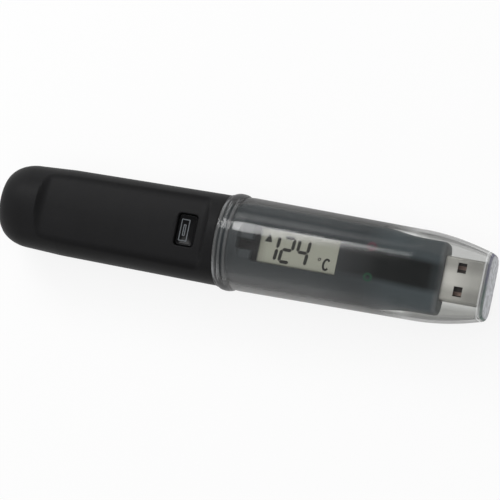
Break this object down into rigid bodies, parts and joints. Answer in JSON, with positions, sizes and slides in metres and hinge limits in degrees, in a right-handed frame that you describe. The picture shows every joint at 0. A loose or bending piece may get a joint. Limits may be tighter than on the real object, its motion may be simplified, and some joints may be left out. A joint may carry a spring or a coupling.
{
  "type": "temperature data logger",
  "caption": "Stick-shaped temperature logger with a flat display window, a recessed button, a lead socket in its rounded rear end and a clear cap over its plug.",
  "frame": {"origin": "on the stick's axis, in the plane where the mouth of the cap meets the rear housing; it is the front end of the round band there", "axes": "+X along the axis towards the plug, +Y across, +Z out of the display window; the stick lies along X"},
  "size_m": [0.1369, 0.0264, 0.0264],
  "materials": {
    "dark_housing": "satin",
    "button_black": "gloss",
    "button_print": "matte",
    "switch_grey": "matte",
    "switch_black": "matte",
    "smoked_plastic": "gloss",
    "seal_rubber": "matte",
    "clear_plastic": "gloss",
    "board_green": "satin",
    "chip_black": "matte",
    "crystal_steel": "satin",
    "part_ceramic": "matte",
    "frame_black": "matte",
    "display_grey": "satin",
    "display_ink": "matte",
    "lamp_red": "gloss",
    "lamp_green": "gloss",
    "plug_nickel": "satin",
    "tongue_black": "matte",
    "contact_gold": "polished",
    "cell_can": "satin",
    "carrier_black": "matte",
    "spring_steel": "satin",
    "socket_black": "satin",
    "blade_yellow": "satin",
    "blade_white": "satin"
  },
  "bodies": {
    "logger": {"rear_housing": "dark_housing", "switch_body": "switch_grey", "front_housing": "smoked_plastic", "housing_seal": "seal_rubber", "cap_seal": "seal_rubber", "circuit_board": "board_green", "controller_chip": "chip_black", "memory_chip": "chip_black", "crystal_can": "crystal_steel", "small_parts": "part_ceramic", "display_frame": "frame_black", "display_glass": "display_grey", "display_digits": "display_ink", "display_contacts": "seal_rubber", "lamp_holder": "frame_black", "alarm_lamp": "lamp_red", "status_lamp": "lamp_green", "plug_shell": "plug_nickel", "plug_tongue": "tongue_black", "plug_contacts": "contact_gold", "battery_cell": "cell_can", "battery_carrier": "carrier_black", "battery_spring": "spring_steel", "battery_plate": "spring_steel", "socket_body": "socket_black", "socket_blade_wide": "blade_yellow", "socket_blade_narrow": "blade_white"},
    "cap": {"cap": "clear_plastic"},
    "button": {"button_key": "button_black", "button_mark": "button_print"},
    "plunger": {"switch_plunger": "switch_black"}
  },
  "joints": [
    {"name": "cap_slide", "type": "slide", "parent": "logger", "child": "cap", "axis": [1, 0, 0], "range_m": [0, 0.08]},
    {"name": "button_press", "type": "slide", "parent": "logger", "child": "button", "axis": [0, 0, -1], "range_m": [0, 0.0005], "stiffness_N_per_m": 3000},
    {"name": "plunger_press", "type": "slide", "parent": "logger", "child": "plunger", "axis": [0, 0, -1], "range_m": [0, 0.0005]}
  ],
  "couplings": [
    {"joint": "plunger_press", "follows": "button_press", "ratio": 1}
  ]
}
